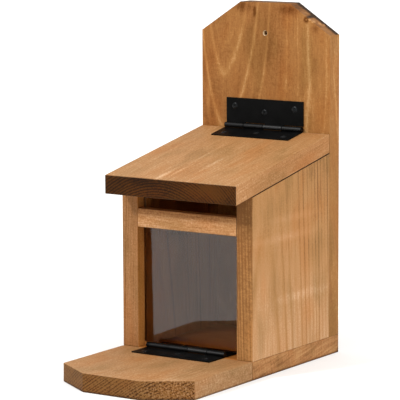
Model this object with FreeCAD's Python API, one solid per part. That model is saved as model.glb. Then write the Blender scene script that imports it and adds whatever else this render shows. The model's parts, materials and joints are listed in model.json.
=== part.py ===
import FreeCAD, Part
import math
import os
from FreeCAD import Vector

# Squirrel feeder box of stained softwood boards, sizes in millimetres.
# X runs to the right as seen from the front, Y runs from the front to the back, Z is up.
# The origin lies under the middle of the whole feeder, on the surface that it stands on.
# A box with a clear front stands on a base board, in front of a tall backboard that hangs on
# a tree or a wall. A sloping lid is hinged to the backboard, and a perch platform is hinged
# to the front of the base, where it folds up against the box.

# Boards
box_width = 150.0
board_thickness = 18.0
edge_chamfer = 0.3
side_depth = 141.0
side_front_height = 157.7

# Backboard
backboard_height = 329.5
backboard_clip_width = 46.0
backboard_clip_height = 30.0
hanging_hole_radius = 2.5
hanging_hole_drop = 30.4

# Lid
lid_slope = 10.5
lid_overhang = 28.5
lid_rest_gap = 0.8
lid_back_gap = 0.5

# Platform
platform_depth = 126.0
platform_clip_width = 43.0
platform_clip_depth = 28.0
platform_gap = 0.5

# Front rail
rail_height = 18.0
rail_thickness = 10.0
rail_bottom_height = 119.0
dowel_radius = 3.0
dowel_length = 24.0

# Window pane and the grooves that it slides in
window_thickness = 2.0
window_top_drop = 3.0
window_side_gap = 0.5
groove_setback = 11.0
groove_width = 4.0
groove_depth = 6.0
groove_stop_height = 4.0

# Butt hinges
hinge_length = 90.0
hinge_leaf_width = 27.5
leaf_thickness = 1.2
pin_radius = 1.5
pin_clearance = 0.05
pin_end_inset = 0.2
barrel_lift = 0.3
knuckle_count = 4
knuckle_gap = 0.3
knuckle_notch_gap = 0.4
roll_end_angle = -28.0
knuckle_root = 4.0
outer_hole_reach = 19.3
middle_hole_reach = 14.3
outer_hole_spread = 35.0
platform_hinge_offset = -3.0
fold_clearance = 0.4

# Hinge screws
hinge_screw_length = 16.0
hinge_screw_radius = 1.5
hinge_screw_head_radius = 3.2
hinge_screw_crown = 0.7
hinge_screw_crown_radius = 2.1

# Frame screws, through the backboard and the base board into the middle of the side boards
frame_screw_length = 50.0
frame_screw_radius = 2.0
frame_screw_head_radius = 4.0
back_screw_heights = (50.0, 148.0)
base_screw_setbacks = (28.0, 112.0)

# Both kinds of screw, whose heads are countersunk at 90 degrees
screw_point_length = 4.0
screw_point_radius = 0.4
screw_sides = 16

# Planes and heights that the pieces share
half_width = box_width / 2
inner_half_width = half_width - board_thickness
side_middle = half_width - board_thickness / 2
platform_reach = platform_gap + platform_depth
box_depth = side_depth + board_thickness
front_y = (platform_reach - box_depth) / 2
backboard_y = front_y + side_depth
rear_y = backboard_y + board_thickness
floor_z = board_thickness
backboard_top_z = floor_z + backboard_height
slope = math.radians(lid_slope)
lid_front_y = front_y - lid_overhang
lid_back_y = backboard_y - lid_back_gap
rail_bottom_z = floor_z + rail_bottom_height
rail_top_z = rail_bottom_z + rail_height
groove_front_y = front_y + groove_setback
groove_bottom_z = floor_z + groove_stop_height
window_front_y = groove_front_y + (groove_width - window_thickness) / 2
platform_back_y = front_y - platform_gap
platform_front_y = platform_back_y - platform_depth

# Sizes that follow in each hinge, whose leaves lie flat on the wood
bore_radius = pin_radius + pin_clearance
barrel_radius = bore_radius + leaf_thickness
pin_lift = barrel_radius + barrel_lift
leaf_face = leaf_thickness - pin_lift
knuckle_pitch = (hinge_length + knuckle_gap) / knuckle_count

# Directions
right = Vector(1, 0, 0)
left = Vector(-1, 0, 0)
to_the_front = Vector(0, -1, 0)
to_the_back = Vector(0, 1, 0)
up = Vector(0, 0, 1)
down_the_lid = Vector(0, -math.cos(slope), -math.sin(slope))


def side_top_z(y):
    """Height of the side boards' sloping top edge at this depth."""
    return floor_z + side_front_height + (y - front_y) * math.tan(slope)


def lid_under_z(y):
    """Height of the lid's underside at this depth."""
    return side_top_z(y) + lid_rest_gap / math.cos(slope)


def lid_top_z(y):
    """Height of the lid's upper face at this depth."""
    return lid_under_z(y) + board_thickness / math.cos(slope)


# The pin of each hinge, and the leaves on it: their place, along the pin, and out across the leaf
roof_pin_y = backboard_y - pin_lift
roof_pin = Vector(0, roof_pin_y, lid_top_z(roof_pin_y) + pin_lift / math.cos(slope))
platform_pin = Vector(platform_hinge_offset, front_y + pin_lift - fold_clearance, floor_z + pin_lift)
wall_leaf = (roof_pin, right, up)
lid_leaf = (roof_pin, left, down_the_lid)
base_leaf = (platform_pin, right, to_the_back)
platform_leaf = (platform_pin, left, to_the_front)


def save(shape, node):
    """Write one sub-part under its node's name."""
    shape.exportStep(os.path.join("parts", node + ".step"))


def save_group(shapes, node):
    """Write separate solids that share one node."""
    save(Part.makeCompound(shapes), node)


def placed(shape, origin, x_axis, y_axis):
    """A copy of a shape, with its own X and Y turned to these directions and its origin moved."""
    z_axis = x_axis.cross(y_axis)
    matrix = FreeCAD.Matrix(
        x_axis.x, y_axis.x, z_axis.x, origin.x,
        x_axis.y, y_axis.y, z_axis.y, origin.y,
        x_axis.z, y_axis.z, z_axis.z, origin.z,
        0, 0, 0, 1,
    )
    moved = shape.copy()
    moved.Placement = FreeCAD.Placement(matrix).multiply(shape.Placement)
    return moved


def block(low, high):
    """A block between two opposite corners."""
    size = high - low
    return Part.makeBox(size.x, size.y, size.z, low)


def prism(points, extent):
    """A solid from a closed outline, pushed along a straight vector."""
    outline = Part.makePolygon(points + [points[0]])
    return Part.Face(outline).extrude(extent)


def eased(board):
    """A board with every arris lightly broken, as sanding leaves it."""
    return board.makeChamfer(edge_chamfer, board.Edges)


def without(body, fixings):
    """A body with the holes that its fixings fill."""
    for fixing in fixings:
        body = body.cut(fixing)
    return body


# Fixings

def turned(profile):
    """A solid turned about Z through (radius, height) points, in flat facets to keep it light."""
    angles = [2 * math.pi * index / screw_sides for index in range(screw_sides)]
    rings = [
        [Vector(radius * math.cos(angle), radius * math.sin(angle), height) for angle in angles]
        for radius, height in profile
    ]
    outlines = [rings[0], rings[-1]]
    for upper, lower in zip(rings, rings[1:]):
        for index in range(screw_sides):
            outlines.append([upper[index - 1], upper[index], lower[index], lower[index - 1]])
    facets = [Part.Face(Part.makePolygon(outline + [outline[0]])) for outline in outlines]
    return Part.Solid(Part.Shell(facets))


def countersunk(length, radius, head_radius):
    """Profile of a wood screw from its rim at the origin down to its point."""
    return [
        (head_radius, 0),
        (radius, radius - head_radius),
        (radius, screw_point_length - length),
        (screw_point_radius, -length),
    ]


def hinge_screw():
    """A short screw with a raised head, for a hinge leaf."""
    crown = (hinge_screw_crown_radius, hinge_screw_crown)
    shank = countersunk(hinge_screw_length, hinge_screw_radius, hinge_screw_head_radius)
    return turned([crown] + shank)


def frame_screw():
    """A long screw with a flat head, through a board."""
    return turned(countersunk(frame_screw_length, frame_screw_radius, frame_screw_head_radius))


def back_screws():
    """Screws through the backboard into the rear ends of the side boards."""
    return [
        placed(frame_screw(), Vector(x, rear_y, floor_z + height), up, right)
        for x in (-side_middle, side_middle)
        for height in back_screw_heights
    ]


def base_screws():
    """Screws up through the base board into the lower ends of the side boards."""
    return [
        placed(frame_screw(), Vector(x, front_y + setback, 0), right, to_the_front)
        for x in (-side_middle, side_middle)
        for setback in base_screw_setbacks
    ]


def dowels():
    """The two blind dowels that hold the front rail between the side boards."""
    centre_y = front_y + rail_thickness / 2
    centre_z = (rail_bottom_z + rail_top_z) / 2
    starts = [side * inner_half_width - dowel_length / 2 for side in (-1, 1)]
    return [
        Part.makeCylinder(dowel_radius, dowel_length, Vector(start, centre_y, centre_z), right)
        for start in starts
    ]


# Butt hinges, drawn with the pin along X through the origin, Y out across the leaf, Z off its face

def hinge_pin(pin_point):
    """A plain pin almost as long as the barrel, with its ends just inside it."""
    length = hinge_length - 2 * pin_end_inset
    return Part.makeCylinder(pin_radius, length, pin_point - right * (length / 2), right)


def leaf_screws(leaf):
    """The three screws of a leaf in its place, the middle one nearer the pin."""
    spots = [
        Vector(-outer_hole_spread, outer_hole_reach, leaf_face),
        Vector(0, middle_hole_reach, leaf_face),
        Vector(outer_hole_spread, outer_hole_reach, leaf_face),
    ]
    return [placed(placed(hinge_screw(), spot, right, to_the_back), *leaf) for spot in spots]


def rolled_knuckle(start):
    """Leaf sheet carried under the pin and rolled round it, open where its end meets the face."""
    end = math.radians(roll_end_angle)
    low = -math.pi / 2
    middle = (end + low) / 2 + math.pi

    def at(radius, angle):
        return Vector(start, radius * math.cos(angle), radius * math.sin(angle))

    def arc(radius, first, last):
        return Part.Arc(at(radius, first), at(radius, middle), at(radius, last)).toShape()

    flat_low = Vector(start, knuckle_root, -pin_lift)
    flat_high = Vector(start, knuckle_root, leaf_face)
    root_low = Vector(start, 2 * knuckle_root, -pin_lift)
    root_high = Vector(start, 2 * knuckle_root, leaf_face)
    outline = Part.Wire([
        Part.makeLine(root_low, flat_low),
        Part.makeLine(flat_low, at(barrel_radius, low)),
        arc(barrel_radius, low, end),
        Part.makeLine(at(barrel_radius, end), at(bore_radius, end)),
        arc(bore_radius, end, low),
        Part.makeLine(at(bore_radius, low), flat_high),
        Part.makeLine(flat_high, root_high),
        Part.makeLine(root_high, root_low),
    ])
    return Part.Face(outline).extrude(right * (knuckle_pitch - knuckle_gap))


def hinge_leaf(leaf):
    """A leaf in its place, with every second knuckle and countersunk holes."""
    notch = barrel_radius + knuckle_notch_gap
    low = Vector(-hinge_length / 2, notch, -pin_lift)
    high = Vector(hinge_length / 2, hinge_leaf_width, leaf_face)
    sheet = block(low, high)
    for index in range(0, knuckle_count, 2):
        sheet = sheet.fuse(rolled_knuckle(index * knuckle_pitch - hinge_length / 2))
    return without(placed(sheet.removeSplitter(), *leaf), leaf_screws(leaf))


# Boards and pane

def backboard():
    """The tall board behind the box, with its top corners cut off and a hole to hang it by."""
    shoulder_z = backboard_top_z - backboard_clip_height
    crown_x = half_width - backboard_clip_width
    outline = [
        Vector(-half_width, backboard_y, floor_z),
        Vector(half_width, backboard_y, floor_z),
        Vector(half_width, backboard_y, shoulder_z),
        Vector(crown_x, backboard_y, backboard_top_z),
        Vector(-crown_x, backboard_y, backboard_top_z),
        Vector(-half_width, backboard_y, shoulder_z),
    ]
    board = eased(prism(outline, to_the_back * board_thickness))
    hole_start = Vector(0, backboard_y, backboard_top_z - hanging_hole_drop)
    hole = Part.makeCylinder(hanging_hole_radius, board_thickness, hole_start, to_the_back)
    return without(board, [hole] + leaf_screws(wall_leaf) + back_screws())


def base_board():
    """The board that the box and the backboard stand on."""
    low = Vector(-half_width, front_y, 0)
    high = Vector(half_width, rear_y, board_thickness)
    return without(eased(block(low, high)), leaf_screws(base_leaf) + base_screws())


def right_side():
    """A side board with a sloping top, and the window's groove in its inner face."""
    outline = [
        Vector(inner_half_width, front_y, floor_z),
        Vector(inner_half_width, backboard_y, floor_z),
        Vector(inner_half_width, backboard_y, side_top_z(backboard_y)),
        Vector(inner_half_width, front_y, side_top_z(front_y)),
    ]
    board = eased(prism(outline, right * board_thickness))
    low = Vector(inner_half_width, groove_front_y, groove_bottom_z)
    high = Vector(inner_half_width + groove_depth, groove_front_y + groove_width, backboard_top_z)
    return without(board, [block(low, high)] + dowels() + back_screws() + base_screws())


def left_side():
    """The same board for the other side."""
    return right_side().mirror(Vector(0, 0, 0), right)


def front_rail():
    """The bar between the side boards above the window."""
    low = Vector(-inner_half_width, front_y, rail_bottom_z)
    high = Vector(inner_half_width, front_y + rail_thickness, rail_top_z)
    return without(eased(block(low, high)), dowels())


def window():
    """The clear pane, which slides up out of its grooves when the lid is open."""
    reach = inner_half_width + groove_depth - window_side_gap
    low = Vector(-reach, window_front_y, groove_bottom_z)
    top_z = rail_top_z - window_top_drop
    return block(low, Vector(reach, window_front_y + window_thickness, top_z))


def lid():
    """The sloping lid, cut upright at both ends and overhanging the front."""
    outline = [
        Vector(-half_width, lid_front_y, lid_under_z(lid_front_y)),
        Vector(-half_width, lid_back_y, lid_under_z(lid_back_y)),
        Vector(-half_width, lid_back_y, lid_top_z(lid_back_y)),
        Vector(-half_width, lid_front_y, lid_top_z(lid_front_y)),
    ]
    return without(eased(prism(outline, right * box_width)), leaf_screws(lid_leaf))


def platform():
    """The perch board in front of the box, with its front corners cut off."""
    shoulder_y = platform_front_y + platform_clip_depth
    nose_x = half_width - platform_clip_width
    outline = [
        Vector(-half_width, platform_back_y, 0),
        Vector(-half_width, shoulder_y, 0),
        Vector(-nose_x, platform_front_y, 0),
        Vector(nose_x, platform_front_y, 0),
        Vector(half_width, shoulder_y, 0),
        Vector(half_width, platform_back_y, 0),
    ]
    return without(eased(prism(outline, up * board_thickness)), leaf_screws(platform_leaf))


os.makedirs("parts", exist_ok=True)

save(backboard(), "backboard")
save(base_board(), "base_board")
save(left_side(), "left_side")
save(right_side(), "right_side")
save(front_rail(), "front_rail")
save(window(), "window")
save(lid(), "lid")
save(platform(), "platform")
save_group(dowels(), "rail_dowels")
save_group(back_screws(), "back_screws")
save_group(base_screws(), "base_screws")

save(hinge_leaf(wall_leaf), "roof_hinge_wall_leaf")
save(hinge_leaf(lid_leaf), "roof_hinge_lid_leaf")
save(hinge_pin(roof_pin), "roof_hinge_pin")
save_group(leaf_screws(wall_leaf), "roof_hinge_wall_screws")
save_group(leaf_screws(lid_leaf), "roof_hinge_lid_screws")

save(hinge_leaf(base_leaf), "platform_hinge_base_leaf")
save(hinge_leaf(platform_leaf), "platform_hinge_platform_leaf")
save(hinge_pin(platform_pin), "platform_hinge_pin")
save_group(leaf_screws(base_leaf), "platform_hinge_base_screws")
save_group(leaf_screws(platform_leaf), "platform_hinge_platform_screws")
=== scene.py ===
import json
import math

import bpy
import numpy as np
from mathutils import Matrix, Vector


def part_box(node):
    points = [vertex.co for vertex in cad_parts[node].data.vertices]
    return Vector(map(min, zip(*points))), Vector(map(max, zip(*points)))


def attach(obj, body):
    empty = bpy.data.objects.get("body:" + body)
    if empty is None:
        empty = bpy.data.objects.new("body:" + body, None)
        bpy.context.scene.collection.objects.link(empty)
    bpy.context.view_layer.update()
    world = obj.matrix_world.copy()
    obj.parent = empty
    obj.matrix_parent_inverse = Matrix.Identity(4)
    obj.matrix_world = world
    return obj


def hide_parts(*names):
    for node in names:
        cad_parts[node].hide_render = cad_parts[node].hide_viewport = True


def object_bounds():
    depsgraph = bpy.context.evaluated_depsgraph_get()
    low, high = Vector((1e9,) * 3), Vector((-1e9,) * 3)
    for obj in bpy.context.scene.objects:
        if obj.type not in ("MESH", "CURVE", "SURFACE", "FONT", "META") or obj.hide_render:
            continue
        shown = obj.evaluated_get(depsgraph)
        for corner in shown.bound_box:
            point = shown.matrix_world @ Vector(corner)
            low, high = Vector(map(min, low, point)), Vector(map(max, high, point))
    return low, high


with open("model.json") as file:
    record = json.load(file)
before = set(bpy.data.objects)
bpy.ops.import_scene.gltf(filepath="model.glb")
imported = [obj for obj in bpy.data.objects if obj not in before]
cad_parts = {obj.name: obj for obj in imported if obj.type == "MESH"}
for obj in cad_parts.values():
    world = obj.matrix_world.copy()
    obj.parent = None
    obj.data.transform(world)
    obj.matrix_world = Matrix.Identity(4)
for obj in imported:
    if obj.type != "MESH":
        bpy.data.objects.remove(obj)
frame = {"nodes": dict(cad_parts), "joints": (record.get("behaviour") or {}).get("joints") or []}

# Squirrel feeder box: stained spruce boards, black butt hinges, a clear acrylic front.
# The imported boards, dowels, leaves and pins are kept and get their finishes here. Two kinds of piece are
# made anew: the pane leans in its grooves, and the screws have domed or flat heads with cross recesses.
# In the dictionaries lengths are millimetres and angles are degrees.

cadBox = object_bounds()
parts = frame["nodes"]
mm = 0.001
print("frame loaded:", len(parts), "nodes")


def linear(hexColour):
    # sRGB hex to linear RGBA: c/12.92 near black, else ((c + 0.055) / 1.055) ^ 2.4
    channels = [int(hexColour[i:i + 2], 16) / 255 for i in (1, 3, 5)]
    return [c / 12.92 if c <= 0.04045 else ((c + 0.055) / 1.055) ** 2.4 for c in channels] + [1]


def newTree(name):
    # a material of that name and its node tree, still empty
    material = bpy.data.materials.new(name)
    material.use_nodes = True
    material.node_tree.nodes.clear()
    return material, material.node_tree


def add(tree, kind, sockets=None, out=0, stops=(), **settings):
    # adds a node, sets or links its sockets, fills a ramp's stops, and gives back one output
    node = tree.nodes.new("ShaderNode" + kind)
    for name, value in settings.items():
        setattr(node, name, value)
    for key, value in (sockets or {}).items():
        if isinstance(value, bpy.types.NodeSocket):
            tree.links.new(value, node.inputs[key])
        else:
            node.inputs[key].default_value = value
    if stops:
        elements = node.color_ramp.elements
        for position, shade in stops:  # a hex colour, or a grey from 0 to 1
            elements.new(position).color = linear(shade) if isinstance(shade, str) else [shade] * 3 + [1]
        elements.remove(elements[0])
        elements.remove(elements[-1])
    return node.outputs[out]


def layered(tree, start, layers):
    # start plus the sum of value * gain
    total = start
    for value, gain in layers:
        total = add(tree, "Math", {0: value, 1: gain, 2: total}, operation="MULTIPLY_ADD")
    return total


def finish(tree, shader):
    # the shader goes to the surface
    tree.links.new(shader, tree.nodes.new("ShaderNodeOutputMaterial").inputs["Surface"])


def rubbedArris(tree, own):
    # the normal, rounded over the arrises, and how far they are rubbed: more where it leaves the face's own
    arris = add(tree, "Bevel", {"Radius": own["arrisRadius"] * mm}, samples=4)
    faceNormal = add(tree, "NewGeometry", out="Normal")
    flatness = add(tree, "VectorMath", {0: arris, 1: faceNormal}, out="Value", operation="DOT_PRODUCT")
    rubbed = add(tree, "MapRange", {0: flatness, 1: own["arrisFrom"], 2: own["arrisTo"], 3: 0,
                                    4: own["rubbing"]})
    return arris, rubbed


def dress(names, material):
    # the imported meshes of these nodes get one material
    for name in names:
        mesh = parts[name].data
        mesh.materials.clear()
        mesh.materials.append(material)


# Planed spruce under brown stain. Growth rings are cylinders round a pith line outside the board, so
# faces, edges and ends agree. Soft early wood takes up more stain than hard late wood, which leaves
# late wood as pale lines along the faces, and the thirsty end grain goes dark.
# Sizes of patterns are millimetres across, outwards and along the grain.
# Gains are shares of the tone's range.
woodCommon = {
    "warpSize": (60, 60, 240), "warp": 4,                 # how the rings wander across and along the board
    "apex": 0.0, "lean": 0.0,                             # sharper ring tips, and rings steeper on one side
    "lateStart": 0.4, "lateFull": 0.8, "lateEnd": 0.99,   # late wood, in shares of a ring's width
    "ringLuck": 1.5, "growth": 3.0, "growthLength": 20,   # how rings differ in strength and in width
    "fibreSize": (1.1, 1.1, 38), "fibres": 0.4,           # drawn coarser than real fibres so that they show
    "streakSize": (5, 5, 150), "streaks": 0.35,
    "blotchSize": (26, 26, 65), "blotches": 0.25,
    "speckleSize": (1.5, 1.5, 1.5), "speckles": 0.3,
    "poreSize": (0.8, 0.8, 14), "pores": 0.15, "poreFrom": 0.52, "poreTo": 0.68,
    "patchSize": (30, 30, 60), "patchFrom": 0.4, "patchTo": 0.6,   # where pores and figure show
    "rippleSize": (5.5, 5.5, 2.4), "ripples": 0.0,        # the figure across the grain
    "edgeRipples": 0.0,                                   # the same figure on the narrow long faces
    "lines": 0.2, "ringTone": 0.0, "rings": [],           # late wood, and single rings drawn by their radius
    "marks": [], "knots": [],
    "swellDepth": 400, "swellStretch": 1.6, "knotDepth": 25,   # how far knots reach outwards and along
    "drift": (0, 0, 0),                                   # tone per 100 mm across, outwards and along
    "toneStops": (0.05, 0.4, 0.65, 0.95), "endStops": (0.1, 0.5, 0.9),
    "noiseMean": 0.5, "poreMean": 0.15, "lateMean": 0.1, "endLateMean": 0.3,   # means of the layers
    "edgeTone": 0.0, "edgeTint": (1, 1, 1),               # tone and colour share of the narrow long faces
    "innerTint": (1, 1, 1),                               # colour share of the face turned inwards; on the left side it is painted light, that face lighter and yellower than its lamps leave it
    "endFrom": 0.35, "endTo": 0.75,                       # from long grain to end grain as the face turns
    "sawSize": (1.6, 19.2, 400), "sawAngle": 40, "saws": 0.4, "endSpeckles": 0.4, "endLines": -0.4,
    "tintSize": (28, 28, 70), "tintStops": (0.35, 0.48, 0.52, 0.65),   # greyer and redder patches of stain
    "tints": ("#eceee8", "#ffffff", "#ffffff", "#fff4e8"),
    "arrisRadius": 0.8, "arrisFrom": 0.99, "arrisTo": 0.85, "rubbing": 0.1,
    "footShade": 0.0, "footShadeFrom": 2.4, "footShadeTo": 0.6,       # painted shade on the lowest arris, where the board meets the floor
    "footShadeColour": "#6a5848",
    "reliefs": {"fibre": 0.6, "lateWood": 0.3, "speckle": 0.3, "pore": -0.3},
    "bump": 0.4, "bumpHeight": 0.5,
    "roughness": 0.6, "roughening": {"fibre": 0.12, "blotch": 0.08}, "specular": 0.08,
}


def grainSpace(tree, own):
    # The surface in millimetres of the frame, and its place once it is turned and shifted so that the
    # board's pith line lies on Z: side = outward x along, and along is tilted round side
    along = Vector(own["grain"]).normalized()
    outward = Vector(own["face"]).normalized()
    side = outward.cross(along)
    along = Matrix.Rotation(math.radians(own["tilt"]), 3, side) @ along
    outward = along.cross(side)
    turn = Matrix((side, outward, along))
    shift = -(turn @ Vector(own["pith"]))
    metres = add(tree, "TexCoord", out="Object")
    surface = add(tree, "VectorMath", {0: metres, "Scale": 1 / mm}, operation="SCALE")
    place = add(tree, "Mapping", {"Vector": surface, "Location": shift, "Rotation": turn.to_euler("XYZ")})
    return {"surface": surface, "place": place, "turn": turn, "shift": shift}


def spot(tree, wood, point, half):
    # 1 at a point of the frame, falling to 0 at its half sizes in the grain space:
    # 1 - length of the scaled offset
    centre = wood["turn"] @ Vector(point) + wood["shift"]
    offset = add(tree, "VectorMath", {0: wood["place"], 1: centre}, operation="SUBTRACT")
    scaled = add(tree, "VectorMath", {0: offset, 1: [1 / h for h in half]}, operation="MULTIPLY")
    away = add(tree, "VectorMath", {0: scaled}, out="Value", operation="LENGTH")
    return add(tree, "MapRange", {0: away, 1: 0, 2: 1, 3: 1, 4: 0}, interpolation_type="SMOOTHSTEP")


def stretched(tree, vector, size, seed, detail=2, out="Fac"):
    # noise whose features have that size
    scaled = add(tree, "VectorMath", {0: vector, 1: [1 / length for length in size]}, operation="MULTIPLY")
    return add(tree, "TexNoise", {"Vector": scaled, "W": seed, "Scale": 1, "Detail": detail}, out=out,
               noise_dimensions="4D")


def wandering(tree, own, wood):
    # the place pushed about sideways by slow noise, so the rings wander along the board
    wander = stretched(tree, wood["place"], own["warpSize"], wood["seed"], out="Color")
    push = add(tree, "VectorMath", {0: wander, 1: [-own["noiseMean"]] * 3}, operation="ADD")
    push = add(tree, "VectorMath", {0: push, 1: (own["warp"], own["warp"], 0)}, operation="MULTIPLY")
    return add(tree, "VectorMath", {0: wood["place"], 1: push}, operation="ADD")


def pithDistance(tree, own, wood):
    # length of (side, outward), with side stretched where it is negative, its size added for sharp tips,
    # and all swollen round the knots
    axes = add(tree, "SeparateXYZ", {0: wood["pushed"]}).node
    sideways, outward = axes.outputs["X"], axes.outputs["Y"]
    size = add(tree, "Math", {0: sideways}, operation="ABSOLUTE")
    leaned = layered(tree, 0.0, [(sideways, 1 + own["lean"] / 2), (size, -own["lean"] / 2)])
    flat = add(tree, "CombineXYZ", {"X": leaned, "Y": outward})
    distance = add(tree, "VectorMath", {0: flat}, out="Value", operation="LENGTH")
    swell = []
    for knot in own["knots"]:
        reach = (knot["reach"], own["swellDepth"], knot["reach"] * own["swellStretch"])
        swell.append((spot(tree, wood, knot["at"], reach), knot["swell"]))
    return layered(tree, distance, [(size, own["apex"])] + swell)


def growthRings(tree, own, wood):
    # Late wood twice: every ring alike, and each with its own strength.
    # Ring number = distance / ring spacing, with slow changes of growth
    growth = add(tree, "TexNoise", {"W": wood["distance"], "Scale": 1 / own["growthLength"], "Detail": 1},
                 noise_dimensions="1D")
    rings = layered(tree, 0.0, [(wood["distance"], 1 / own["ringSpacing"]), (growth, own["growth"])])
    ringNumber = add(tree, "Math", {0: rings}, operation="FLOOR")
    within = add(tree, "Math", {0: rings}, operation="FRACT")
    luck = add(tree, "TexWhiteNoise", {"W": ringNumber}, noise_dimensions="1D")
    luck = add(tree, "Math", {0: luck, 1: own["ringLuck"]}, operation="POWER")
    late = add(tree, "ValToRGB", {"Fac": within},
               stops=[(own["lateStart"], 0.0), (own["lateFull"], 1.0), (own["lateEnd"], 0.0)])
    if "calm" in own:
        # a region where the rings hardly show
        still = spot(tree, wood, own["calm"]["at"], own["calm"]["half"])
        still = add(tree, "Math", {0: still, 1: late}, operation="MULTIPLY")
        late = layered(tree, late, [(still, -own["calm"]["share"])])
    return {"late": late, "lateWood": add(tree, "Math", {0: late, 1: luck}, operation="MULTIPLY")}


def ringLines(tree, distance, rings):
    # a pale line at each ring of the list: its radius, half width and strength
    reach = max(radius + width for radius, width, strength in rings) * 1.02  # no stop at the ramp's very end
    share = add(tree, "Math", {0: distance, 1: 1 / reach}, operation="MULTIPLY")
    stops = [(edge / reach, value) for radius, width, strength in rings
             for edge, value in ((radius - width, 0.0), (radius, strength), (radius + width, 0.0))]
    return add(tree, "ValToRGB", {"Fac": share}, stops=stops)


def woodNoises(tree, own, wood):
    # fibres, streaks, blotches, speckles, pores in patches, and the figure's ripples, which centre on 0
    place, pushed, seed = wood["place"], wood["pushed"], wood["seed"]
    pore = stretched(tree, pushed, own["poreSize"], seed + 5, 1)
    pore = add(tree, "MapRange", {0: pore, 1: own["poreFrom"], 2: own["poreTo"]},
               interpolation_type="SMOOTHSTEP")
    patch = stretched(tree, place, own["patchSize"], seed + 6)
    patch = add(tree, "MapRange", {0: patch, 1: own["patchFrom"], 2: own["patchTo"]},
                interpolation_type="SMOOTHSTEP")
    ripple = stretched(tree, pushed, own["rippleSize"], seed + 7)
    return {
        "fibre": stretched(tree, pushed, own["fibreSize"], seed + 1, 3),
        "streak": stretched(tree, pushed, own["streakSize"], seed + 2),
        "blotch": stretched(tree, pushed, own["blotchSize"], seed + 3, 3),
        "speckle": stretched(tree, place, own["speckleSize"], seed + 4),
        "pore": add(tree, "Math", {0: pore, 1: patch}, operation="MULTIPLY"),
        "patch": patch,
        "ripple": add(tree, "Math", {0: ripple, 1: own["noiseMean"]}, operation="SUBTRACT"),
    }


def facings(tree, turn):
    # how far the surface is a narrow long face, an end, or turned inwards
    facing = add(tree, "TexCoord", out="Normal")
    edgeOn = add(tree, "VectorMath", {0: facing, 1: turn.row[0]}, out="Value", operation="DOT_PRODUCT")
    inwards = add(tree, "VectorMath", {0: facing, 1: -turn.row[1]}, out="Value", operation="DOT_PRODUCT")
    endOn = add(tree, "VectorMath", {0: facing, 1: turn.row[2]}, out="Value", operation="DOT_PRODUCT")
    return {
        "edgeOn": add(tree, "Math", {0: edgeOn, 1: edgeOn}, operation="MULTIPLY"),
        "inwards": inwards,
        "endOn": add(tree, "Math", {0: endOn}, operation="ABSOLUTE"),
    }


def boardMarks(tree, own, wood):
    # marks, knots and the drift, with their gains, which both tones take up
    marks = []
    for mark in own["marks"]:
        half = (mark["width"], mark.get("depth", mark["width"]), mark["length"])
        marks.append((spot(tree, wood, mark["at"], half), mark["tone"]))
    for knot in own["knots"]:
        half = (knot["size"], own["knotDepth"], knot["size"] * knot["long"])
        marks.append((spot(tree, wood, knot["at"], half), knot["core"]))
    middle = wood["turn"] @ Vector(own["middle"]) + wood["shift"]
    offset = add(tree, "VectorMath", {0: wood["place"], 1: middle}, operation="SUBTRACT")
    drift = add(tree, "VectorMath", {0: offset, 1: own["drift"]}, out="Value", operation="DOT_PRODUCT")
    marks.append((drift, 0.01))  # it is given per 100 mm
    return marks


def longGrain(tree, own, wood):
    # colour of faces and edges along the grain
    figure = layered(tree, 0.0, [(wood["patch"], own["ripples"]), (wood["edgeOn"], own["edgeRipples"])])
    rippled = add(tree, "Math", {0: wood["ripple"], 1: figure}, operation="MULTIPLY")
    gains = [(wood["lateWood"], own["lines"]), (wood["fibre"], own["fibres"]),
             (wood["streak"], own["streaks"]), (wood["blotch"], own["blotches"]),
             (wood["speckle"], own["speckles"]), (wood["pore"], -own["pores"]),
             (rippled, 1.0), (wood["edgeOn"], own["edgeTone"])]
    if own["rings"]:
        gains.append((ringLines(tree, wood["distance"], own["rings"]), own["ringTone"]))

    # the layers' means come off the start
    start = 0.5 - own["noiseMean"] * (own["fibres"] + own["streaks"] + own["blotches"] + own["speckles"])
    start += own["poreMean"] * own["pores"] - own["lateMean"] * own["lines"]
    tone = layered(tree, start, gains + wood["marks"])
    colour = add(tree, "ValToRGB", {"Fac": tone}, stops=list(zip(own["toneStops"], own["tones"])))
    # inner faces take their tint, which on the left side is painted light, and narrow faces take theirs
    for share, tint in ((wood["inwards"], own["innerTint"]), (wood["edgeOn"], own["edgeTint"])):
        colour = add(tree, "Mix", {0: share, 6: colour, 7: [*tint, 1]}, out=2, data_type="RGBA",
                     blend_type="MULTIPLY")
    return colour


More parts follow.
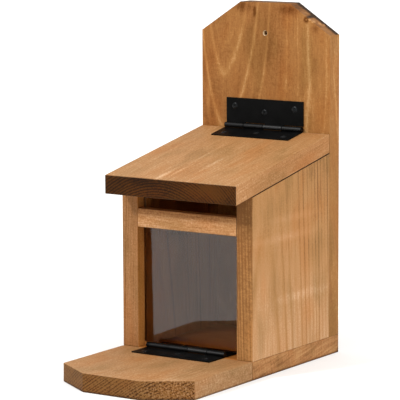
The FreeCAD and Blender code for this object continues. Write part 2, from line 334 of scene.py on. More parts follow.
def endGrain(tree, own, wood):
    # colour of the ends: the rings stand out, saw marks slant across, and the stain is deeper
    turned = (0, 0, math.radians(own["sawAngle"]))
    slant = add(tree, "Mapping", {"Vector": wood["place"], "Rotation": turned})
    saw = stretched(tree, slant, own["sawSize"], wood["seed"] + 8)
    gains = [(wood["late"], own["endLines"] / 2), (wood["lateWood"], own["endLines"] / 2),
             (saw, own["saws"]), (wood["speckle"], own["endSpeckles"]), (wood["blotch"], own["blotches"])]
    start = 0.5 - own["noiseMean"] * (own["saws"] + own["endSpeckles"] + own["blotches"])
    start -= own["endLateMean"] * own["endLines"]
    tone = layered(tree, start, gains + wood["marks"])
    if "hatch" in own:
        # a patch where the saw has crossed the rings
        hatch = own["hatch"]
        torn = spot(tree, wood, hatch["at"], hatch["half"])
        crossed = layered(tree, -1.0, [(saw, 1.0), (wood["speckle"], 1.0)])
        crossed = add(tree, "Math", {0: torn, 1: crossed}, operation="MULTIPLY")
        tone = layered(tree, tone, [(crossed, hatch["gain"])])
    if "endFade" in own:
        # the ends darken from one depth behind the face to another
        fade = own["endFade"]
        depth = add(tree, "VectorMath", {0: wood["surface"], 1: [-c for c in own["face"]]}, out="Value",
                    operation="DOT_PRODUCT")
        depth = add(tree, "MapRange", {0: depth, 1: fade["from"], 2: fade["to"]},
                    interpolation_type="SMOOTHSTEP")
        tone = layered(tree, tone, [(depth, -fade["tone"])])
    colour = add(tree, "ValToRGB", {"Fac": tone}, stops=list(zip(own["endStops"], own["endTones"])))
    if "hatch" in own:
        # the same patch has torn pale flecks
        fleck = add(tree, "MapRange", {0: wood["speckle"], 1: hatch["fleckFrom"], 2: hatch["fleckTo"],
                                       3: 0, 4: hatch["flecks"]})
        fleck = add(tree, "Math", {0: torn, 1: fleck}, operation="MULTIPLY")
        colour = add(tree, "Mix", {0: fleck, 6: colour, 7: linear(own["tones"][-1])}, out=2,
                     data_type="RGBA")
    return colour


def boredHole(tree, bore, surface, colour):
    # raw wood at the mouth of a bored hole and stain below: all that is nearer its axis than its radius
    offset = add(tree, "VectorMath", {0: surface, 1: bore["at"]}, operation="SUBTRACT")
    sideAxes = [1 - abs(c) for c in bore["axis"]]
    across = add(tree, "VectorMath", {0: offset, 1: sideAxes}, operation="MULTIPLY")
    away = add(tree, "VectorMath", {0: across}, out="Value", operation="LENGTH")
    inside = add(tree, "Math", {0: away, 1: bore["radius"] + bore["slack"]}, operation="LESS_THAN")
    sunk = add(tree, "VectorMath", {0: offset, 1: bore["axis"]}, out="Value", operation="DOT_PRODUCT")
    sunk = add(tree, "Math", {0: sunk, 1: 1 / bore["mouth"]}, operation="MULTIPLY")
    bored = add(tree, "ValToRGB", {"Fac": sunk}, stops=list(zip(bore["stops"], bore["tones"])))
    return add(tree, "Mix", {0: inside, 6: colour, 7: bored}, out=2, data_type="RGBA")


def stainedSpruce(name, look):
    # Tone = 0.5 + the sum of the layers, each centred on 0 and times its gain, and the tone picks the
    # colour. Long grain and end grain have a tone each, and the surface's direction says how much of
    # either shows.
    material, tree = newTree("stained_spruce_" + name)
    own = dict(woodCommon, **look)
    wood = grainSpace(tree, own)
    wood["seed"] = own["seed"] * 10  # of the first of a board's ten noises
    wood["pushed"] = wandering(tree, own, wood)
    wood["distance"] = pithDistance(tree, own, wood)
    wood.update(growthRings(tree, own, wood))
    wood.update(woodNoises(tree, own, wood))
    wood.update(facings(tree, wood["turn"]))
    wood["marks"] = boardMarks(tree, own, wood)
    endShare = add(tree, "MapRange", {0: wood["endOn"], 1: own["endFrom"], 2: own["endTo"]},
                   interpolation_type="SMOOTHSTEP")
    colour = add(tree, "Mix", {0: endShare, 6: longGrain(tree, own, wood), 7: endGrain(tree, own, wood)},
                 out=2, data_type="RGBA")

    # greyer and redder patches of stain: the colour times the tint
    tint = stretched(tree, wood["pushed"], own["tintSize"], wood["seed"] + 9)
    tint = add(tree, "ValToRGB", {"Fac": tint}, stops=list(zip(own["tintStops"], own["tints"])))
    colour = add(tree, "Mix", {0: 1.0, 6: colour, 7: tint}, out=2, data_type="RGBA", blend_type="MULTIPLY")

    # rubbed arrises are paler, painted shade darkens the foot, and a bored hole has its own colours
    arris, rubbed = rubbedArris(tree, own)
    colour = add(tree, "Mix", {0: rubbed, 6: colour, 7: linear(own["tones"][-1])}, out=2, data_type="RGBA")
    # painted shade: the lowest millimetres are darkened like the floor's contact shadow
    if own["footShade"]:
        height = add(tree, "SeparateXYZ", {0: wood["surface"]}, out="Z")
        shadedFoot = add(tree, "MapRange", {0: height, 1: own["footShadeFrom"], 2: own["footShadeTo"], 3: 0,
                                     4: own["footShade"]})
        colour = add(tree, "Mix", {0: shadedFoot, 6: colour, 7: linear(own["footShadeColour"])}, out=2,
                     data_type="RGBA", blend_type="MULTIPLY")
    if "bore" in own:
        colour = boredHole(tree, own["bore"], wood["surface"], colour)

    relief = layered(tree, 0.0, [(wood[layer], gain) for layer, gain in own["reliefs"].items()])
    bumped = add(tree, "Bump", {"Height": relief, "Strength": own["bump"],
                                "Distance": own["bumpHeight"] * mm, "Normal": arris})
    start = own["roughness"] - own["noiseMean"] * sum(own["roughening"].values())
    sheen = layered(tree, start, [(wood[layer], gain) for layer, gain in own["roughening"].items()])
    finish(tree, add(tree, "BsdfPrincipled", {"Base Color": colour, "Roughness": sheen, "Normal": bumped,
                                             "Specular IOR Level": own["specular"]}))
    return material


slope = math.radians(10.5)  # of the lid
boards = {
    "backboard": {
        "grain": (0, 0, 1), "face": (0, -1, 0), "pith": (-48.7, 153.3, 273), "tilt": -9.27, "seed": 1,
        "middle": (0, 124, 290), "drift": (-0.12, 0, 0),
        "warp": 0.6, "apex": 0.15, "lean": -0.36, "ringSpacing": 4.5, "lines": 0.1, "ringTone": 0.4,
        "rings": [(28.1, 1.5, 0.8), (37.0, 1.6, 0.8), (47.7, 1.4, 0.6), (56.5, 0.8, 0.15), (66.4, 0.9, 0.3),
                  (76.5, 0.9, 0.35), (85.8, 3.0, 0.7), (100.2, 1.3, 0.4)],
        "fibres": 0.45, "streaks": 0.35, "blotches": 0.35, "speckles": 0.5, "ripples": 0.4, "pores": 0.0,
        "edgeTint": (0.97, 1.0, 1.03), "endLines": -0.15, "endFade": {"from": 133, "to": 141.5, "tone": 0.8},
        "tones": ("#60360f", "#87582d", "#976838", "#b68a59"),
        "endTones": ("#322214", "#78502c", "#a0764c"),
        "bore": {"at": (0, 124.75, 317.1), "axis": (0, 1, 0), "radius": 2.5, "slack": 0.1, "mouth": 4,
                 "stops": (0.1, 0.6, 0.98), "tones": ("#e2c9a4", "#e2c9a4", "#7a5230")},
        "knots": [{"at": (-12.2, 124.75, 338), "size": 3, "long": 2.4, "reach": 8, "swell": 0.6,
                   "core": -0.8},
                  {"at": (47.6, 124.75, 345), "size": 0.1, "long": 1.0, "reach": 60, "swell": 6,
                   "core": 0},
                  {"at": (47.6, 124.75, 332.1), "size": 4.2, "long": 1.1, "reach": 8, "swell": 1,
                   "core": -1.1}],
        "marks": [{"at": (47.6, 124.75, 332.1), "width": 1.6, "length": 1.8, "tone": 0.9},
                  {"at": (52, 124, 332.4), "width": 4, "length": 1.8, "tone": 0.6},
                  {"at": (55, 127, 330.5), "width": 4, "length": 2, "tone": 0.6},
                  {"at": (58.4, 133, 328.3), "width": 4, "length": 2, "tone": 0.6},
                  {"at": (61, 137, 326.7), "width": 4, "length": 2, "tone": 0.5},
                  {"at": (58.1, 124.75, 323.6), "width": 8, "length": 8, "tone": -0.25},
                  {"at": (-26, 124.75, 343), "width": 16, "length": 10, "tone": -0.4},
                  {"at": (28, 124.75, 341), "width": 20, "length": 9, "tone": -0.4},
                  {"at": (6, 124.75, 305), "width": 48, "length": 75, "tone": -0.15},
                  {"at": (-68, 124.75, 250), "width": 4, "length": 26, "tone": 0.3}],
    },
    "lid": {
        "grain": (0, -math.cos(slope), -math.sin(slope)), "face": (0, -math.sin(slope), math.cos(slope)),
        "pith": (-15, -45, 100), "tilt": 1.5, "seed": 2, "middle": (0, 35, 200), "drift": (0, 0, 0.1),
        "ringSpacing": 2.6, "ringLuck": 2.0, "growth": 1.5, "lines": 0.12, "edgeRipples": 0.4,
        "fibres": 0.65, "streaks": 0.3, "blotches": 0.3, "speckles": 1.0, "pores": 0.1,
        "endLines": -0.65, "saws": 0.4, "sawAngle": 60, "endSpeckles": 0.8, "roughness": 0.55,
        "edgeTint": (1.08, 1.0, 0.92),
        "tones": ("#76522e", "#91673e", "#a0774f", "#be9b79"),
        "endTones": ("#120601", "#2a1401", "#4a2804"),
        "marks": [{"at": (-12, 30, 202), "width": 3, "length": 42, "tone": 0.35},
                  {"at": (-16, -30, 192), "width": 5, "length": 26, "tone": 0.4},
                  {"at": (-8, -20, 193), "width": 3, "length": 30, "tone": 0.3},
                  {"at": (12, 10, 200), "width": 4, "length": 40, "tone": 0.2},
                  {"at": (46, -45, 184), "width": 34, "length": 3, "tone": 0.4},
                  {"at": (-30, -45, 190), "width": 40, "length": 3, "tone": -0.25}],
    },
    "left_side": {
        "grain": (0, 0, 1), "face": (-1, 0, 0), "pith": (60, 20, 100), "tilt": 1.5, "seed": 3,
        "middle": (-66, 50, 100), "ringSpacing": 2.4, "lateStart": 0.5, "lines": -0.45, "edgeRipples": 0.3,
        # the inner tint is painted light: the inner face lighter and yellower than its lamps leave it
        "fibres": 0.6, "streaks": 0.3, "blotches": 0.25, "speckles": 0.8, "innerTint": (1.3, 1.1, 0.65),
        "tones": ("#684121", "#895e37", "#966a44", "#af8861"),
        "endTones": ("#2a1808", "#4f331a", "#7a5530"),
        # painted shade: the inner face is darkened high up inside the box
        "marks": [{"at": (-57, 62, 150), "width": 66, "depth": 12, "length": 45, "tone": -1.5}],
    },
    "right_side": {
        "grain": (0, 0, 1), "face": (1, 0, 0), "pith": (-90, 5, 100), "tilt": 1.2, "seed": 4,
        # painted shade and light: the drift darkens the side towards the lid and lightens it towards the
        # floor
        "middle": (75, 60, 100), "drift": (0, 0, -0.22), "edgeTone": -0.35, "edgeTint": (1.0, 0.97, 0.92),
        "ringSpacing": 3.1, "ringLuck": 0.35, "growth": 1.0, "lateStart": 0.5, "warp": 2, "lines": -0.4,
        "fibres": 0.45, "streaks": 0.2, "blotches": 0.2, "speckles": 0.5, "edgeRipples": 0.5,
        "poreSize": (0.7, 0.7, 24), "pores": 0.2, "roughness": 0.58,
        "calm": {"at": (75, 12, 200), "half": (100, 7, 230), "share": 0.9},
        "tones": ("#764f2b", "#9e7244", "#aa7e54", "#c19c78"),
        "endTones": ("#2a1808", "#4f331a", "#7a5530"),
        "marks": [{"at": (75, 60, 148), "width": 70, "length": 6, "tone": 0.14},
                  {"at": (75, 40, 130), "width": 90, "length": 7, "tone": 0.17},
                  {"at": (75, 75, 70), "width": 80, "length": 8, "tone": 0.17},
                  {"at": (75, 95, 110), "width": 30, "length": 30, "tone": -0.15}],
    },
    "front_rail": {
        "grain": (1, 0, 0), "face": (0, -1, 0), "pith": (0, 20, 130), "tilt": 1.0, "seed": 5,
        "middle": (0, 0, 165), "ringSpacing": 3.0, "fibreSize": (1.1, 1.1, 12), "fibres": 0.9,
        "streaks": 0.2, "blotches": 0.25, "speckles": 1.0,
        "tones": ("#81542f", "#a67548", "#b6875b", "#d1a585"),
        "endTones": ("#2a1808", "#4f331a", "#7a5530"),
        # painted shadow of the lid's overhang along the top of the rail
        "marks": [{"at": (0, -16, 155), "width": 7, "length": 220, "tone": -0.42}],
    },
    "base_board": {
        "grain": (1, 0, 0), "face": (0, 0, 1), "pith": (0, -70, -10), "tilt": 1.0, "seed": 6,
        # the darkened foot of this board is painted shade
        "middle": (0, 60, 9), "ringSpacing": 5, "roughness": 0.62, "footShade": 0.8,
        "endLines": -0.2, "sawSize": (2.6, 31.2, 400), "sawAngle": 80, "saws": 1.6, "endSpeckles": 1.0,
        "edgeTint": (0.87, 1.05, 1.8), "innerTint": (0.87, 1.05, 1.8),
        "tones": ("#663913", "#8e5623", "#9e652c", "#bb7f42"),
        "endTones": ("#744b27", "#96673e", "#ac8052"),
        "marks": [{"at": (75, 142, 2), "width": 5, "length": 5, "tone": -0.7},
                  # painted light: a pale patch on the floor inside the box, where light through the pane
                  # falls
                  {"at": (0, 54, 18), "width": 69, "depth": 8, "length": 68, "tone": 1.6}],
    },
    "platform": {
        "grain": (0, -1, 0), "face": (0, 0, 1), "pith": (405, -80, -597), "tilt": 1.5, "seed": 8,
        "middle": (0, -40, 18), "drift": (0, 0, 0.15), "ringSpacing": 2.6, "ringLuck": 0.9, "growth": 1.5,
        "lines": 0.1, "fibres": 0.6, "streaks": 0.12, "blotches": 0.2, "speckles": 1.2, "pores": 0.1,
        # the darkened foot of this board is painted shade
        "ripples": 0.3, "edgeRipples": 0.9, "edgeTint": (1.0, 1.04, 1.1), "footShade": 0.7,
        "endLines": -0.6, "sawSize": (1.1, 13.2, 400), "sawAngle": 115, "saws": 0.9, "endSpeckles": 1.3,
        "calm": {"at": (-75, -100, 9), "half": (60, 60, 60), "share": 0.9},
        "hatch": {"at": (60, -118, 9), "half": (60, 60, 60), "gain": 1.3,
                  "fleckFrom": 0.5, "fleckTo": 0.68, "flecks": 0.5},
        "tones": ("#724e29", "#8f653e", "#9a724b", "#b18d69"),
        "endTones": ("#2f1a08", "#543316", "#724e27"),
        "marks": [{"at": (54, -121, 8), "width": 24, "depth": 16, "length": 26, "tone": 0.35},
                  {"at": (62, -28, 18), "width": 16, "depth": 8, "length": 30, "tone": -0.15}],
    },
}

for name, look in boards.items():
    dress([name], stainedSpruce(name, look))
print("boards stained:", len(boards))


# Bare beech: turned, pale and close-grained, with fine flecks along the dowel
beechLook = {"fleckSize": (16.7, 0.556, 0.556), "toneStops": (0.3, 0.6), "tones": ("#a9855c", "#cfae83"),
             "roughness": 0.65, "bump": 0.2, "bumpHeight": 0.1}


def bareBeech(look):
    # colour and relief both follow one noise, drawn out along X
    material, tree = newTree("bare_beech_dowels")
    metres = add(tree, "TexCoord", out="Object")
    place = add(tree, "VectorMath", {0: metres, 1: [1 / (size * mm) for size in look["fleckSize"]]},
                operation="MULTIPLY")
    fleck = add(tree, "TexNoise", {"Vector": place, "Scale": 1, "Detail": 3})
    colour = add(tree, "ValToRGB", {"Fac": fleck}, stops=list(zip(look["toneStops"], look["tones"])))
    bumped = add(tree, "Bump", {"Height": fleck, "Strength": look["bump"],
                                "Distance": look["bumpHeight"] * mm})
    finish(tree, add(tree, "BsdfPrincipled", {"Base Color": colour, "Roughness": look["roughness"],
                                             "Normal": bumped}))
    return material


dress(["rail_dowels"], bareBeech(beechLook))

# Black steel: pressed sheet, wire and screws under powder coat or paint, a soft sheen with slight orange
# peel, rubbed a little paler on the arrises. The knuckles' coat is polished by turning, each knuckle more
# or less, and stays dull down in the joints between them.
pins = {joint["name"]: Vector(joint["pos_m"]) / mm for joint in frame["joints"]}
knucklePolish = {"radius": 2.75, "fadeFrom": 0.3, "fadeTo": 0.1, "length": 90, "joint": 0.8,
                 "shares": (0.3, 0.36, 0.62, 0.45), "coatRoughness": 0.24}
steelCommon = {"cloudSize": 14, "toneStops": (0.35, 0.65), "roughening": 0.12,
               "bump": 0.12, "bumpHeight": 0.05, "arrisRadius": 0.35, "arrisFrom": 0.98, "arrisTo": 0.8,
               "rubbing": 0.35, "rubbedTone": "#1c1c1e"}
steels = {
    "black_powder_coated_steel": {"tones": ("#040404", "#090909"), "roughness": 0.36, "peelSize": 0.7,
                                  "specular": 0.05, "polish": knucklePolish},
    "black_painted_wire": {"tones": ("#080808", "#0e0e0f"), "roughness": 0.32, "peelSize": 0.5,
                           "specular": 0.2},
    "black_painted_screw_steel": {"tones": ("#0a0c0d", "#131618"), "roughness": 0.3, "peelSize": 0.4,
                                  "specular": 0.15},
}


def knuckleShine(tree, surface, polish):
    # each knuckle's share along X, 0 in the joints, times 1 where a pin's axis is nearer than the barrel's
    # radius
    half, count = polish["length"] / 2 * mm, len(polish["shares"])
    along = add(tree, "MapRange", {0: add(tree, "SeparateXYZ", {0: surface}, out="X"), 1: -half, 2: half})
    dull, bright = polish["joint"] / 2 / polish["length"], polish["joint"] / polish["length"]
    stops = []
    for k, share in enumerate(polish["shares"]):
        start, end = k / count, (k + 1) / count
        stops += [(start + dull, 0.0), (start + bright, share), (end - bright, share), (end - dull, 0.0)]
    shine = add(tree, "ValToRGB", {"Fac": along}, stops=stops)
    wear = 0.0
    for pin in pins.values():
        offset = add(tree, "VectorMath", {0: surface, 1: pin * mm}, operation="SUBTRACT")
        offset = add(tree, "VectorMath", {0: offset, 1: (0, 1, 1)}, operation="MULTIPLY")
        away = add(tree, "VectorMath", {0: offset}, out="Value", operation="LENGTH")
        near = add(tree, "MapRange", {0: away, 1: (polish["radius"] + polish["fadeFrom"]) * mm,
                                      2: (polish["radius"] + polish["fadeTo"]) * mm, 3: 0, 4: 1})
        wear = add(tree, "Math", {0: near, 1: wear}, operation="MAXIMUM")
    return add(tree, "Math", {0: wear, 1: shine}, operation="MULTIPLY")


def blackSteel(name):
    # colour and sheen drift with slow clouds, and fine noise gives the orange peel
    material, tree = newTree(name)
    own = dict(steelCommon, **steels[name])
    surface = add(tree, "TexCoord", out="Object")
    peel = add(tree, "TexNoise", {"Vector": surface, "Scale": 1 / (own["peelSize"] * mm), "Detail": 2})
    cloud = add(tree, "TexNoise", {"Vector": surface, "Scale": 1 / (own["cloudSize"] * mm), "Detail": 3})
    arris, rubbed = rubbedArris(tree, own)
    colour = add(tree, "ValToRGB", {"Fac": cloud}, stops=list(zip(own["toneStops"], own["tones"])))
    colour = add(tree, "Mix", {0: rubbed, 6: colour, 7: linear(own["rubbedTone"])}, out=2, data_type="RGBA")
    sheen = layered(tree, own["roughness"] - own["roughening"] / 2, [(cloud, own["roughening"])])
    bumped = add(tree, "Bump", {"Height": peel, "Strength": own["bump"],
                                "Distance": own["bumpHeight"] * mm, "Normal": arris})
    sockets = {"Base Color": colour, "Roughness": sheen, "Normal": bumped,
               "Specular IOR Level": own["specular"]}
    if "polish" in own:
        sockets["Coat Weight"] = knuckleShine(tree, surface, own["polish"])
        sockets["Coat Roughness"] = own["polish"]["coatRoughness"]
    finish(tree, add(tree, "BsdfPrincipled", sockets))
    return material


dress(["roof_hinge_wall_leaf", "roof_hinge_lid_leaf", "platform_hinge_base_leaf",
       "platform_hinge_platform_leaf"], blackSteel("black_powder_coated_steel"))
dress(["roof_hinge_pin", "platform_hinge_pin"], blackSteel("black_painted_wire"))
print("dowels, leaves and pins finished")


def gridFaces(rows, columns):
    # quads between neighbouring rings, closed round, wound so that they face outwards
    row, column = np.meshgrid(np.arange(rows - 1), np.arange(columns), indexing="ij")
    after = (column + 1) % columns
    quads = np.stack([row * columns + column, (row + 1) * columns + column,
                      (row + 1) * columns + after, row * columns + after], axis=-1)
    return quads.reshape(-1, 4)


def endCaps(first, rows, columns):
    # the first ring as a face, and the last one wound the other way
    last = first + (rows - 1) * columns
    return [list(range(first, first + columns)), list(range(last + columns - 1, last - 1, -1))]


def meshPiece(name, points, quads, caps, material, smooth=True):
    # an object at the origin from points in millimetres of the frame
    mesh = bpy.data.meshes.new(name)
    mesh.from_pydata(points.reshape(-1, 3) * mm, [], quads.tolist() + caps)
    mesh.materials.append(material)
    mesh.polygons.foreach_set("use_smooth", np.full(len(mesh.polygons), smooth))
    mesh.update()
    piece = bpy.data.objects.new(name, mesh)
    bpy.context.scene.collection.objects.link(piece)
    return piece


# The pane has 1 mm of play before and behind it in its grooves, and leans to the front in them, so it
# mirrors the perch. It is extruded acrylic: clear and glossy, with a faint haze of rubbing up and down.
paneLook = {"lean": 0.8, "edgeRadius": 0.25, "edgeSteps": 2, "tint": "#e3d0bf", "ior": 1.49,
            "rubSize": (3.125, 3.125, 111.1), "rubFrom": 0.45, "rubTo": 0.75, "haze": 0.03}


def clearAcrylic(look):
    # roughness = haze where the rubbing noise is high
    material, tree = newTree("clear_acrylic_sheet")
    metres = add(tree, "TexCoord", out="Object")
    place = add(tree, "VectorMath", {0: metres, 1: [1 / (size * mm) for size in look["rubSize"]]},
                operation="MULTIPLY")
    rubbing = add(tree, "TexNoise", {"Vector": place, "Scale": 1, "Detail": 3})
    haze = add(tree, "MapRange", {0: rubbing, 1: look["rubFrom"], 2: look["rubTo"], 3: 0.0, 4: look["haze"]})
    finish(tree, add(tree, "BsdfPrincipled", {"Base Color": linear(look["tint"]), "Roughness": haze,
                                             "IOR": look["ior"], "Transmission Weight": 1.0}))
    return material


def leaningPane(look):
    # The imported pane's outline, drawn in by radius * (1 - cos a) at a depth of radius * (1 - sin a) under
    # each face, then turned about X through its middle
    low, top = (np.array(corner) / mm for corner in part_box("window"))
    halves = (top - low) / 2
    angles = np.linspace(np.pi / 2, 0, look["edgeSteps"] + 1)
    inset, depth = look["edgeRadius"] * (1 - np.cos(angles)), look["edgeRadius"] * (1 - np.sin(angles))
    insets = np.concatenate([inset, inset[::-1]])
    x = np.outer(halves[0] - insets, (1, -1, -1, 1))
    z = np.outer(halves[2] - insets, (1, 1, -1, -1))
    y = np.repeat(np.concatenate([depth - halves[1], halves[1] - depth[::-1]])[:, None], 4, axis=1)
    cosine, sine = math.cos(math.radians(look["lean"])), math.sin(math.radians(look["lean"]))
    points = np.stack([x, y * cosine - z * sine, y * sine + z * cosine], axis=-1) + (low + top) / 2
    rows, columns = x.shape
    piece = meshPiece("leaning_pane", points, gridFaces(rows, columns), endCaps(0, rows, columns),
                      clearAcrylic(look), smooth=False)
    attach(piece, "box")
    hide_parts("window")


leaningPane(paneLook)
print("pane made")

# Screws: the hinges' are black with domed heads, the frame's are yellow zinc with flat heads. The recess
# is full deep at the first share of its half width or reach, and ends at the second.
screwCommon = {"ringCount": 26, "sideCount": 72, "poleRadius": 0.02, "pointRadius": 0.3, "pointLength": 4,
               "rimDepth": 0.05, "recessTaper": 0.45, "recessWall": (0.5, 4 / 3), "recessEnd": (0.8, 1.05),
               "crispAngle": 40}
hingeScrew = {"headRadius": 3.2, "shankRadius": 1.5, "length": 16, "crown": 0.7,
              "recessWidth": 0.75, "recessReach": 1.75, "recessDepth": 0.9,
              "outerReach": 19.3, "middleReach": 14.3, "spread": 35, "faceDrop": 1.85}
frameScrew = {"headRadius": 4.0, "shankRadius": 2.0, "length": 50, "crown": 0.0,
              "recessWidth": 1.0, "recessReach": 2.3, "recessDepth": 1.4}
zincLook = {"cloudSize": 3, "toneStops": (0.3, 0.55, 0.8), "tones": ("#a8935c", "#c4b07a", "#c9b8a0"),
            "roughness": 0.28, "roughening": 0.15, "bump": 0.08, "bumpHeight": 0.05}


def zincPlate(look):
    # yellow passivated zinc: a bright metal with a straw tint that drifts in patches
    material, tree = newTree("yellow_zinc_plated_steel")
    surface = add(tree, "TexCoord", out="Object")
    cloud = add(tree, "TexNoise", {"Vector": surface, "Scale": 1 / (look["cloudSize"] * mm), "Detail": 3})
    colour = add(tree, "ValToRGB", {"Fac": cloud}, stops=list(zip(look["toneStops"], look["tones"])))
    sheen = layered(tree, look["roughness"], [(cloud, look["roughening"])])
    bumped = add(tree, "Bump", {"Height": cloud, "Strength": look["bump"],
                                "Distance": look["bumpHeight"] * mm})
    finish(tree, add(tree, "BsdfPrincipled", {"Base Color": colour, "Metallic": 1.0, "Roughness": sheen,
                                             "Normal": bumped}))
    return material


def screwShape(look, turn):
    # A profile turned about Z: crown z = crown * (1 - (r / head)^2), then cone, shank and point.
    # The cross recess lowers the crown where |x| or |y| is under half its width and r is in its reach.
    head, shank = look["headRadius"], look["shankRadius"]
    point, pole = look["pointRadius"], look["poleRadius"]
    crownRadii = np.linspace(pole, head, look["ringCount"])
    crownHeights = look["crown"] * (1 - (crownRadii / head) ** 2)
    lowRadii = np.array([head, shank, shank, point, pole])
    lowHeights = np.array([-look["rimDepth"], shank - head, look["pointLength"] - look["length"],
                           -look["length"], -look["length"]])
    radii = np.concatenate([crownRadii, lowRadii])
    heights = np.concatenate([crownHeights, lowHeights])
    angles = np.linspace(0, 2 * np.pi, look["sideCount"], endpoint=False)
    x = np.outer(radii, np.cos(angles + turn))
    y = np.outer(radii, np.sin(angles + turn))
    z = np.repeat(heights[:, None], len(angles), axis=1)
    u, v = np.outer(radii, np.cos(angles)), np.outer(radii, np.sin(angles))
    arm = np.minimum(np.abs(u), np.abs(v)) / (look["recessWidth"] / 2)
    reach = np.hypot(u, v) / look["recessReach"]
    sunk = np.interp(arm, look["recessWall"], (1, 0)) * np.interp(reach, look["recessEnd"], (1, 0))
    top = np.arange(len(radii))[:, None] < len(crownRadii)
    taper = 1 - look["recessTaper"] * np.clip(reach, 0, 1)
    z = z - np.where(top, sunk * look["recessDepth"] * taper, 0)
    return np.stack([x, y, z], axis=-1)


def screwGroup(name, look, places, body, material):
    # every screw of a node as one piece: the same shape carried to each place and turned at random
    own = dict(screwCommon, **look)
    random = np.random.default_rng(len(name))
    allPoints, allQuads, caps = [], [], []
    for origin, xAxis, yAxis in places:
        shape = screwShape(own, random.uniform(0, np.pi / 2))
        rows, columns = shape.shape[:2]
        axes = np.array([xAxis, yAxis, np.cross(xAxis, yAxis)])
        first = len(allPoints) * rows * columns
        allPoints.append((shape.reshape(-1, 3) @ axes) + np.array(origin))
        allQuads.append(gridFaces(rows, columns) + first)
        caps += endCaps(first, rows, columns)
    piece = meshPiece(name, np.concatenate(allPoints), np.concatenate(allQuads), caps, material)
    sharp = piece.modifiers.new("crisp rims", "EDGE_SPLIT")
    sharp.split_angle = math.radians(own["crispAngle"])
    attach(piece, body)
    return piece


def leafPlaces(look, pin, xAxis, yAxis):
    # three screws of a leaf: along it by their spread, across it by their reach from the pin, on its face
    xAxis, yAxis = np.array(xAxis), np.array(yAxis)
    face = pin - look["faceDrop"] * np.cross(xAxis, yAxis)
    spread, outer = look["spread"], look["outerReach"]
    spots = [(-spread, outer), (0, look["middleReach"]), (spread, outer)]
    return [(face + x * xAxis + y * yAxis, xAxis, yAxis) for x, y in spots]


def insetCorners(look, node, axis, high):
    # the four head centres of a node of frame screws, from its box, one head radius in
    low, top = (np.array(corner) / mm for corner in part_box(node))
    inset = look["headRadius"]
    spans = [(low[i] + inset, top[i] - inset) for i in range(3) if i != axis]
    level = top[axis] if high else low[axis]
    return [np.insert(np.array((a, b)), axis, level) for a in spans[0] for b in spans[1]]


screwPaint, zinc = blackSteel("black_painted_screw_steel"), zincPlate(zincLook)
roofPin, platformPin = np.array(pins["lid_hinge"]), np.array(pins["platform_hinge"])
downTheLid = (0, -math.cos(slope), -math.sin(slope))
leaves = {
    "roof_hinge_wall_screws": (roofPin, (1, 0, 0), (0, 0, 1), "box"),
    "roof_hinge_lid_screws": (roofPin, (-1, 0, 0), downTheLid, "lid"),
    "platform_hinge_base_screws": (platformPin, (1, 0, 0), (0, 1, 0), "box"),
    "platform_hinge_platform_screws": (platformPin, (-1, 0, 0), (0, -1, 0), "platform"),
}
for node, (pin, xAxis, yAxis, body) in leaves.items():
    places = leafPlaces(hingeScrew, pin, xAxis, yAxis)
    piece = screwGroup(node + "_domed", hingeScrew, places, body, screwPaint)
    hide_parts(node)

backPlaces = [(p, (0, 0, 1), (1, 0, 0)) for p in insetCorners(frameScrew, "back_screws", 1, True)]
basePlaces = [(p, (1, 0, 0), (0, -1, 0)) for p in insetCorners(frameScrew, "base_screws", 2, False)]
for node, places in (("back_screws", backPlaces), ("base_screws", basePlaces)):
    piece = screwGroup(node + "_crossed", frameScrew, places, "box", zinc)
    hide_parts(node)
print("screws made:", 3 * len(leaves) + len(backPlaces) + len(basePlaces))

# the stage: a pale floor under the part, a white sky and two soft lamps
stageLook = {"floorSize": 60000, "floorDrop": 0.1,
             "floorTones": ("#c9c8c6", "#cdccca"), "floorStops": (0.3, 0.7), "speckSize": 333.3,
             "floorGlow": 0.3, "floorRoughness": 0.9, "floorSpecular": 0.1,
             "skyLow": 0.45, "skyHigh": 1.6, "lampDistance": 3000,
             "leftFrom": (-0.338, -0.726, 0.599), "leftStrength": 2.0, "leftWidth": 6.5,
             "rightFrom": (0.75, -0.2, 0.63), "rightStrength": 1.9, "rightWidth": 40}


def paleFloor(look):
    # painted floor, nearly even, and lit a little from itself so that it stays pale beside the white sky
    material, tree = newTree("pale_studio_floor")
    speck = add(tree, "TexNoise", {"Vector": add(tree, "TexCoord", out="Object"),
                                   "Scale": 1 / (look["speckSize"] * mm), "Detail": 2})
    colour = add(tree, "ValToRGB", {"Fac": speck}, stops=list(zip(look["floorStops"], look["floorTones"])))
    finish(tree, add(tree, "BsdfPrincipled", {"Base Color": colour, "Roughness": look["floorRoughness"],
                                             "Specular IOR Level": look["floorSpecular"],
                                             "Emission Color": (1, 1, 1, 1),
                                             "Emission Strength": look["floorGlow"]}))
    return material


half = stageLook["floorSize"] / 2 * mm
level = cadBox[0][2] - stageLook["floorDrop"] * mm
corners = [(-half, -half, level), (half, -half, level), (half, half, level), (-half, half, level)]
floorMesh = bpy.data.meshes.new("floor")
floorMesh.from_pydata(corners, [], [(0, 1, 2, 3)])
floorMesh.materials.append(paleFloor(stageLook))
floor = bpy.data.objects.new("floor", floorMesh)
bpy.context.scene.collection.objects.link(floor)

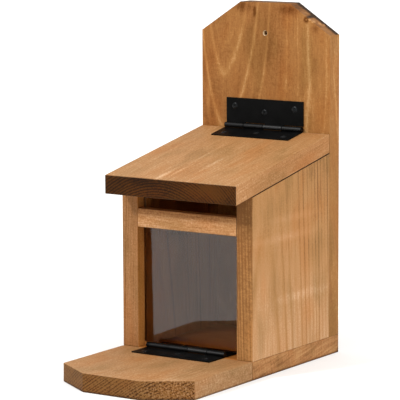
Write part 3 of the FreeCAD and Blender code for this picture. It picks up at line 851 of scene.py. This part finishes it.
# the sky is dimmer near the floor: strength = low + (high - low) * height squared
world = bpy.data.worlds.new("white studio")
bpy.context.scene.world = world
world.use_nodes = True
sky = world.node_tree
height = add(sky, "SeparateXYZ", {0: add(sky, "TexCoord", out="Generated")}, out="Z")
height = add(sky, "Math", {0: height, 1: height}, operation="MULTIPLY")
brightness = layered(sky, stageLook["skyLow"], [(height, stageLook["skyHigh"] - stageLook["skyLow"])])
sky.links.new(brightness, sky.nodes["Background"].inputs["Strength"])
sky.nodes["Background"].inputs["Color"].default_value = (1, 1, 1, 1)


def shineFrom(name, side):
    # a far soft lamp, seen in the direction of its look and as wide as an angle
    light = bpy.data.lights.new(name, "SUN")
    light.energy = stageLook[side + "Strength"]
    light.angle = math.radians(stageLook[side + "Width"])
    towards = Vector(stageLook[side + "From"])
    lamp = bpy.data.objects.new(name, light)
    lamp.location = towards * stageLook["lampDistance"] * mm
    lamp.rotation_euler = towards.to_track_quat("Z", "Y").to_euler()
    bpy.context.scene.collection.objects.link(lamp)


# the lamp on the left casts the lid's shadow on the rail, and the one on the right lights the side
shineFrom("left lamp", "left")
shineFrom("right softbox", "right")

# The camera's numbers come from fitting about 40 corners and edges of the photograph
cameraLook = {"target": (-25.66, 45.75, 157.67), "distance": 2529.05, "azimuth": 33.74, "elevation": 8.43,
              "roll": -0.24, "focalPixels": 2578.79, "framePixels": 400, "sensorWidth": 36, "clipEnd": 100000}
azimuth, elevation = math.radians(cameraLook["azimuth"]), math.radians(cameraLook["elevation"])
aim = (Matrix.Rotation(azimuth, 4, "Z") @ Matrix.Rotation(math.pi / 2 - elevation, 4, "X")
       @ Matrix.Rotation(math.radians(cameraLook["roll"]), 4, "Z"))
backward = aim.to_3x3() @ Vector((0, 0, 1))
eye = Vector(cameraLook["target"]) + backward * cameraLook["distance"]
cameraData = bpy.data.cameras.new("camera")
cameraData.sensor_width = cameraLook["sensorWidth"]
cameraData.lens = cameraLook["focalPixels"] / cameraLook["framePixels"] * cameraData.sensor_width
cameraData.clip_end = cameraLook["clipEnd"] * mm
camera = bpy.data.objects.new("camera", cameraData)
bpy.context.scene.collection.objects.link(camera)
camera.matrix_world = Matrix.Translation(eye * mm) @ aim
bpy.context.scene.camera = camera
bpy.context.scene.view_settings.view_transform = "Standard"
print("stage, lights and camera set")
